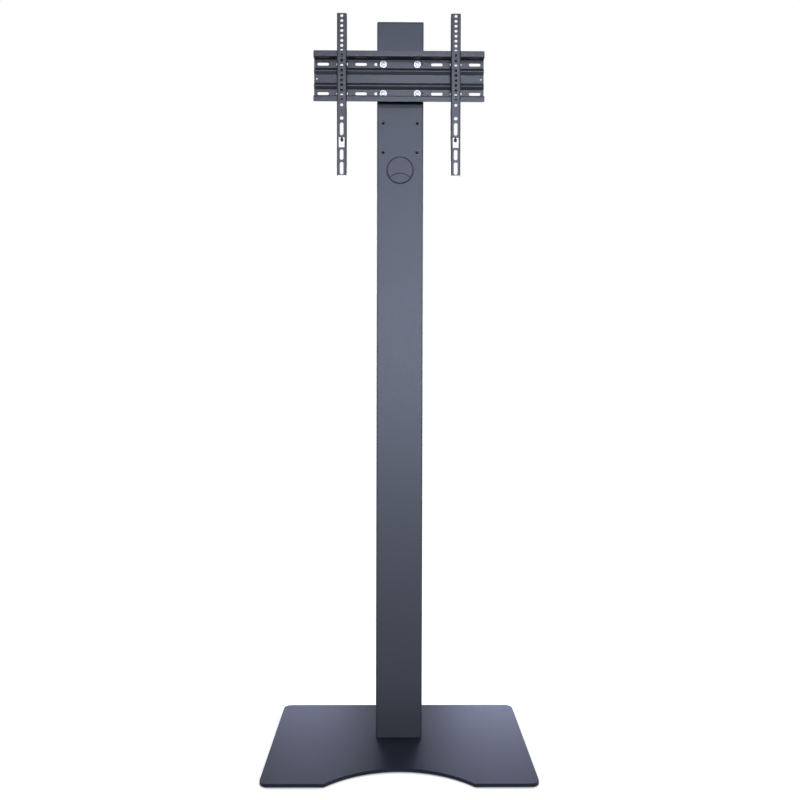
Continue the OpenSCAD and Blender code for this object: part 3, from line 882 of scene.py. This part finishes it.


# Brackets: hooked channels with a row of holes, three slots and a tab bent in over an opening

channel = {
    'sheet': 0.002,
    'bend': 0.0025,
    'bendSteps': 6,
    'hole': 0.00375,
    'holePitch': 0.0125,
    'holeCount': 19,
    'holeSides': 48,
    'firstHole': 0.0065,      # below the top
    'loneHole': 0.0045,
    'slotWidth': 0.009,
    'openingWidth': 0.0146,
    'openingCorner': 0.001,
    'openingSteps': 4,
    'endChamfer': 0.008,
    'tabWidth': 0.011,
    'tabRoot': 0.003,         # how far the tab runs down into the sheet above it
    'tabRear': 0.0019,        # rear edge of the tab, in Y
    'tabCorner': 0.002,
    'tabCornerSteps': 5,
    'screwHole': 0.00255,
    'screwHoleSides': 40,
    'screwDepth': -0.004,     # the lock screw's middle line, in Y
    'edge': 0.00022,
}
channelHeights = {            # above the floor
    'loneHole': 1.607,
    'upperSlot': (1.5638, 1.5958),
    'opening': (1.5329, 1.5587),
    'middleSlot': (1.5012, 1.5278),
    'lowerSlot': (1.4645, 1.4961),
}
hook = {                      # space in the flanges for the lips and shelves of the rail
    'gap': 0.0003,
    'lift': 0.0159,           # the lift that frees a bracket
    'tip': 0.0015,            # slope that leads a lip into its hook
    'overhang': 0.002,        # of the cutting tools, past the flanges
}


def hookTools(left, right, rear):
    rail, gap, lift, tip = railSheet, hook['gap'], hook['lift'], hook['tip']
    low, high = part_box('mount_plate')
    middleZ = (low.z + high.z) / 2
    front, lipBack = low.y - gap, low.y + rail['thickness']
    upper, lower = middleZ + rail['shelf'], middleZ - rail['shelf']
    seat = upper + rail['thickness'] + gap
    left, right = left - hook['overhang'], right + hook['overhang']
    slope = block('tipTool', (left, lipBack, seat - gap), (right, lipBack + gap + tip, seat + tip))
    bevelled(slope, lambda edge: runsAlong(edge, 0) and middle(edge).y > lipBack + gap
             and middle(edge).z > seat, tip, 1)
    return [
        block('shelfTool', (left, front, upper - lift), (right, rear, seat)),
        block('lipTool', (left, front, upper - lift), (right, lipBack + gap, upper + rail['lip'] + gap)),
        block('lowerTool', (left, front, low.z - lift), (right, rear, lower + gap)),
        slope,
    ]


def faceTools(centre, web, top):  # everything that is punched out of a bracket's face
    deep, first = through * channel['sheet'], top - channel['firstHole']
    holes = [(first - k * channel['holePitch'], channel['hole']) for k in range(channel['holeCount'])]
    holes.append((channelHeights['loneHole'], channel['loneHole']))
    tools = [rod('holeTool', (centre, web, height), radius, deep, 'Y', channel['holeSides'])
             for height, radius in holes]
    for slotName in ('upperSlot', 'middleSlot', 'lowerSlot'):
        foot, head = channelHeights[slotName]
        tools.append(slotTool((centre, web, (foot + head) / 2), head - foot, channel['slotWidth'], deep, 2))
    foot, head = channelHeights['opening']
    reach, half = channel['openingWidth'] / 2, deep / 2
    opening = block('openingTool', (centre - reach, web - half, foot), (centre + reach, web + half, head))
    bevelled(opening, lambda edge: runsAlong(edge, 1), channel['openingCorner'], channel['openingSteps'])
    return joined('faceTools', tools + [opening])


def makeTab(centre, web):  # bent in over the opening, with the hole of the lock screw
    sheet, rear, reach = channel['sheet'], channel['tabRear'], channel['tabWidth'] / 2
    head = channelHeights['opening'][1]
    level = head + sheet / 2
    tab = foldedSheet('tab', centre - reach, centre + reach,
                      [(web, head + channel['tabRoot']), (web, level), (rear, level)])
    folds(tab, [(web, level)], channel['bend'], 90, channel['bendSteps'])
    bevelled(tab, lambda vert: vert.co.y > rear - hair, channel['tabCorner'],
             channel['tabCornerSteps'], 'VERT')
    thickened(tab, sheet)
    return worked(tab, rod('screwHoleTool', (centre, channel['screwDepth'], level), channel['screwHole'],
                           through * sheet, 'Z', channel['screwHoleSides']))


def makeBracket(side):
    sheet = channel['sheet']
    low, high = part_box(side + '_bracket')
    centre, half = (low.x + high.x) / 2, sheet / 2
    web = low.y + half
    bracket = uprightSheet(side + 'Bracket', low.x + half, high.x - half, web, low.z, high.z)
    pick(bracket, 'EDGE', lambda edge: runsAlong(edge, 2))
    bpy.ops.mesh.extrude_region_move(TRANSFORM_OT_translate={'value': (0, high.y - web, 0)})
    close()
    bevelled(bracket, lambda edge: runsAlong(edge, 2) and abs(middle(edge).y - web) < hair,
             channel['bend'], channel['bendSteps'])
    bevelled(bracket, lambda vert: vert.co.y > high.y - hair, channel['endChamfer'], 1, 'VERT')
    outwards(bracket)
    thickened(bracket, sheet)
    worked(bracket, faceTools(centre, web, high.z))
    for tool in hookTools(low.x, high.x, high.y + sheet):
        worked(bracket, tool)
    worked(bracket, makeTab(centre, web), 'UNION')
    rounded(bracket, channel['edge'])
    return dressed(bracket, side + '_bracket', 'powder_coated_steel', shadedRailCoat, side + '_bracket')


makeBracket('left')
makeBracket('right')
print('brackets made')


# Lock screws: knurled heads with a hexagon socket, under the tabs of the brackets

lockScrew = {
    'head': 0.004,
    'headHeight': 0.0076,
    'chamfer': 0.0016,
    'shoulder': ((0, 0.0008), (0.0006, 0.0002), (0.0012, 0)),   # in from the rim, down from the top
    'sides': 120,
    'knurls': 30,
    'knurlDepth': 0.00025,
    'knurlReach': 1.2,        # length of a knurling tool, as a share of the head's height
    'knurlSides': 6,
    'shank': 0.00248,
    'threadDepth': 0.0004,
    'threadStart': 0.0004,
    'threadEnd': 0.0002,      # short of the tip
    'pitch': 0.0008,
    'length': 0.008,
    'tip': 0.0006,
    'socket': 0.0017,
    'socketDepth': 0.003,
    'socketSides': 6,
    'edge': 0.00008,
}


def makeLockScrews():
    lock = lockScrew
    head, foot, chamfer = lock['head'], -lock['headHeight'], lock['chamfer']
    root, length, tip = lock['shank'] - lock['threadDepth'], lock['length'], lock['tip']
    rings = [(head - chamfer, foot), (head, foot + chamfer)]
    rings += [(head - inset, -drop) for inset, drop in lock['shoulder']]
    rings += [(root, 0), (root, length - tip), (root - tip, length)]
    first = turned('lock', rings, lock['sides'])
    knurls = []
    for k in range(lock['knurls']):
        around = math.tau * k / lock['knurls']
        knurls.append(rod('knurlTool', (head * math.cos(around), head * math.sin(around), foot / 2),
                          lock['knurlDepth'], -lock['knurlReach'] * foot, 'Z', lock['knurlSides']))
    worked(first, joined('knurlTools', knurls))
    worked(first, rod('socketTool', (0, 0, foot), lock['socket'], 2 * lock['socketDepth'], 'Z',
                      lock['socketSides']))
    rounded(first, lock['edge'], 1)
    thread(first, root, lock['pitch'], lock['threadStart'], length - lock['threadEnd'], lock['threadDepth'])
    for side in ('left', 'right'):
        low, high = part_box(side + '_lock_screw')
        place = ((low.x + high.x) / 2, (low.y + high.y) / 2, low.z + lock['headHeight'])
        screw = copied(first, side + 'LockScrew', place)
        dressed(screw, side + '_lock_screw', 'blackened_steel', darkSteel, side + '_lock_screw')
    bpy.data.objects.remove(first)


makeLockScrews()
print('lock screws made')


# Cable grommets: a ring with a sleeve and a half-moon web, and a lid that turns in it

grommet = {
    'rim': 0.035,
    'rimHeight': 0.004,
    'recess': 0.0326,
    'recessFloor': 0.0015,    # in front of the face of the column
    'sleeve': 0.0298,
    'sleeveLength': 0.014,
    'lead': (0.0006, 0.002),  # taper that leads the sleeve in, across and along
    'bore': 0.0278,
    'land': 0.0005,
    'bead': 0.0302,
    'beadLength': 0.002,
    'beadDrop': 0.0022,       # behind the face of the column
    'beadStep': 0.0002,
    'slope': 0.0019,
    'webTop': -0.0023,
    'webRoot': 0.001,         # how far the web runs into the sleeve
    'webThickness': 0.002,
    'hub': 0.00605,
    'pin': 0.003,
    'pinGap': 0.00005,
    'pinHead': 0.0018,
    'pinHeadEdge': 0.0008,
    'footGap': 0.0003,        # between the web and what lies behind it
    'lid': 0.0323,
    'lidThickness': 0.0022,
    'lidCorner': 0.0006,
    'lidCornerSteps': 4,
    'notchRadius': 0.036,
    'notchDrop': 0.0085,
    'notchSlope': 0.001,
    'lugOut': 0.0258,
    'lugLength': 0.006,
    'lugWidth': 0.004,
    'sides': 128,
    'pinSides': 48,
    'edge': 0.0003,
}


def grommetRing():
    form = grommet
    top, slope, edge, bore = form['rimHeight'], form['slope'], form['edge'], form['bore']
    floor, web, reach, sides = form['recessFloor'], form['webThickness'], form['sleeveLength'], form['sides']
    sleeve, rim, drop, land = form['sleeve'], form['rim'], form['beadDrop'], bore + form['land']
    leadIn, leadLength = form['lead']
    rings = [(land, -reach), (sleeve - leadIn, -reach), (sleeve, leadLength - reach),
             (sleeve, -drop - form['beadLength']), (form['bead'], -drop - form['beadLength'] / 2),
             (form['bead'], -drop), (sleeve, form['beadStep'] - drop), (sleeve, 0), (rim - edge, 0),
             (rim, edge), (rim, top - slope), (rim - slope, top), (land, top)]
    ring = turned('ring', rings, sides)
    worked(ring, rod('recessTool', (0, 0, floor + reach / 2), form['recess'], reach, 'Z', sides))
    worked(ring, rod('boreTool', (0, 0, 0), bore, through * reach, 'Z', sides))
    moon = rod('moon', (0, 0, floor - web / 2), bore + form['webRoot'], web, 'Z', sides)
    worked(moon, block('moonTool', (-rim, form['webTop'], -rim), (rim, rim, rim)))
    worked(moon, rod('hub', (0, 0, floor - web / 2), form['hub'], web, 'Z', form['pinSides']), 'UNION')
    worked(moon, rod('pinTool', (0, 0, 0), form['pin'] + form['pinGap'], through * reach, 'Z',
                     form['pinSides']))
    worked(ring, moon, 'UNION')
    return rounded(ring, edge)


def grommetLid():
    form = grommet
    top, thick, corner = form['rimHeight'], form['lidThickness'], form['lidCorner']
    edge, lid = form['edge'], form['lid']
    foot = form['recessFloor'] - form['footGap'] - form['webThickness']
    rings = [(lid / 2, top - thick), (lid - edge, top - thick), (lid, top - thick + edge)]
    rings += arc((lid - corner, top - corner), corner, 0, 90, form['lidCornerSteps'])
    disc = turned('lid', rings + [(lid / 2, top)], form['sides'])
    notch, slope = form['notchRadius'], form['notchSlope']
    tool = turned('notchTool', [(notch, top - 2 * thick), (notch, top - slope),
                                (notch + 2 * slope, top + slope)], 2 * form['sides'])
    tool.location = (0, -form['notchDrop'] - notch, 0)
    worked(disc, settle(tool))
    pin, head, headEdge = form['pin'], form['pinHead'], form['pinHeadEdge']
    worked(disc, turned('pin', [(pin, top - thick / 2), (pin, foot), (pin + head, foot),
                                (pin + head, foot - headEdge), (pin + headEdge, foot - head)],
                        form['pinSides']), 'UNION')
    out, half = form['lugOut'], form['lugWidth'] / 2
    worked(disc, block('lug', (out - form['lugLength'], -half, foot + form['footGap']),
                       (out, half, top - thick / 2)), 'UNION')
    return rounded(disc, edge)


def makeGrommets():
    ring, lid = grommetRing(), grommetLid()
    for piece in (ring, lid):
        piece.rotation_euler = (math.pi / 2, 0, 0)
        settle(piece)
    tubeLow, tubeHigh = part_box('column_tube')
    for level, face, turn in (('upper', tubeLow.y, 0.0), ('lower', tubeHigh.y, math.pi)):
        low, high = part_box(level + '_grommet_ring')
        place = (0, face, (low.z + high.z) / 2)
        dressed(copied(ring, level + 'GrommetRing', place, turn), 'stand', 'black_plastic', darkPlastic,
                level + '_grommet_ring')
        dressed(copied(lid, level + 'GrommetLid', place, turn), level + '_grommet_lid', 'black_plastic',
                darkPlastic, level + '_grommet_lid')
    for piece in (ring, lid):
        bpy.data.objects.remove(piece)


makeGrommets()
print('grommets made')


# Studio: a pale floor, soft lamps and a white surround

studio = {
    'floorSize': 40.0,
    'floorColour': (0.8, 0.8, 0.8),
    'floorGlow': (0.8, 1.0),      # near the stand and far from it
    'glowReach': (0.6, 1.6),      # metres from the column
    'paintedShadowReach': 0.012,        # how far the painted contact shadow under the base spreads
    'paintedShadowSamples': 8,
    'bounceColour': (0.15, 0.15, 0.16),
    'fillLight': 0.12,
    'surroundLight': 1.0,
}


def seenDirectly(tree):  # 1 for camera, mirror and glass rays, 0 for light that bounces
    path = tree.nodes.new('ShaderNodeLightPath')
    share = path.outputs['Is Camera Ray']
    for name in ('Is Glossy Ray', 'Is Transmission Ray'):
        share = combined(tree, 'MAXIMUM', share, path.outputs[name])
    return share


def chosen(tree, bounced, seen):
    choice = tree.nodes.new('ShaderNodeMixShader')
    for socket, output in enumerate((seenDirectly(tree), bounced.outputs[0], seen.outputs[0])):
        tree.links.new(output, choice.inputs[socket])
    return choice.outputs[0]


def makeFloor():
    bpy.ops.mesh.primitive_plane_add(size=studio['floorSize'])
    floor = bpy.context.object
    floor.name = 'floor'
    material = bpy.data.materials.new('floorPaper')
    material.use_nodes = True
    tree = material.node_tree
    tree.nodes.remove(tree.nodes['Principled BSDF'])
    bounce = addNode(tree, 'BsdfDiffuse', Color=(*studio['bounceColour'], 1))
    paper = addNode(tree, 'BsdfDiffuse', Color=(*studio['floorColour'], 1))
    glow = addNode(tree, 'Emission')
    away = addNode(tree, 'VectorMath')
    away.operation = 'LENGTH'
    tree.links.new(addNode(tree, 'TexCoord').outputs['Object'], away.inputs[0])
    # painted shadow: ambient occlusion dims the floor's glow under and around the base
    paintedShadow = addNode(tree, 'AmbientOcclusion', Distance=studio['paintedShadowReach'])
    paintedShadow.samples = studio['paintedShadowSamples']
    level = between(tree, away.outputs['Value'], studio['glowReach'], studio['floorGlow'])
    tree.links.new(combined(tree, 'MULTIPLY', level, paintedShadow.outputs['AO']), glow.inputs['Strength'])
    shown = tree.nodes.new('ShaderNodeAddShader')
    tree.links.new(paper.outputs[0], shown.inputs[0])
    tree.links.new(glow.outputs[0], shown.inputs[1])
    tree.links.new(chosen(tree, bounce, shown), tree.nodes['Material Output'].inputs['Surface'])
    floor.data.materials.append(material)


def makeSurround():
    world = bpy.data.worlds.new('surround')
    bpy.context.scene.world = world
    world.use_nodes = True
    tree = world.node_tree
    tree.nodes.clear()
    fill = addNode(tree, 'Background', Color=(1, 1, 1, 1), Strength=studio['fillLight'])
    white = addNode(tree, 'Background', Color=(1, 1, 1, 1), Strength=studio['surroundLight'])
    out = tree.nodes.new('ShaderNodeOutputWorld')
    tree.links.new(chosen(tree, fill, white), out.inputs['Surface'])


lamps = {                     # place, aim, width, height, spread in degrees, watts, colour
    'frontLamp': ((0.4, -6.0, 1.5), (0, 0, 1.0), 2.4, 1.0, 60, 46.0, (1, 1, 1)),
    'highLamp': ((0.2, -2.3, 2.5), (0, 0, 1.72), 0.9, 0.4, 40, 1.25, (1, 1, 1)),
    'leftLamp': ((-2.4, 1.0, 1.4), (0, 0, 1.15), 0.8, 1.6, 60, 14.0, (1, 1, 1)),
    'rightLamp': ((2.4, 1.0, 1.4), (0, 0, 1.15), 0.8, 1.6, 60, 14.0, (1, 1, 1)),
    'rearLamp': ((-0.3, 2.8, 1.9), (0, 0, 1.35), 1.0, 0.7, 30, 5.0, (1, 1, 1)),
    'leftBackLamp': ((-0.36, 1.15, 0.25), (-0.2, 0, 0.05), 0.36, 0.3, 80, 0.55, (0.62, 0.67, 1)),
    'rightBackLamp': ((0.42, 1.15, 0.25), (0.24, 0, 0.05), 0.44, 0.3, 80, 0.97, (0.62, 0.67, 1)),
}


def makeLamps():
    for name, (place, aim, width, height, spread, watts, colour) in lamps.items():
        light = bpy.data.lights.new(name, 'AREA')
        light.shape = 'RECTANGLE'
        light.size = width
        light.size_y = height
        light.spread = math.radians(spread)
        light.energy = watts
        light.color = colour
        lamp = bpy.data.objects.new(name, light)
        bpy.context.collection.objects.link(lamp)
        lamp.location = place
        lamp.rotation_euler = (Vector(aim) - Vector(place)).to_track_quat('-Z', 'Y').to_euler()


photoView = {                 # where the photograph was taken from
    'place': (-0.0158, -2.0145, 0.9209),
    'yaw': 0.4795,            # degrees to the right
    'dip': 0.8623,            # degrees down
    'roll': 0.1381,
    'lens': 35.235,           # millimetres, as is the sensor
    'sensor': 36.0,
}


def makeCamera():
    data = bpy.data.cameras.new('photoCamera')
    data.lens = photoView['lens']
    data.sensor_width = photoView['sensor']
    camera = bpy.data.objects.new('photoCamera', data)
    bpy.context.collection.objects.link(camera)
    turn = (Matrix.Rotation(math.radians(-photoView['yaw']), 4, 'Z')
            @ Matrix.Rotation(math.radians(90 - photoView['dip']), 4, 'X')
            @ Matrix.Rotation(math.radians(photoView['roll']), 4, 'Z'))
    camera.matrix_world = Matrix.Translation(photoView['place']) @ turn
    bpy.context.scene.camera = camera


makeFloor()
makeSurround()
makeLamps()
makeCamera()
bpy.context.scene.view_settings.view_transform = 'Standard'
print('studio ready')
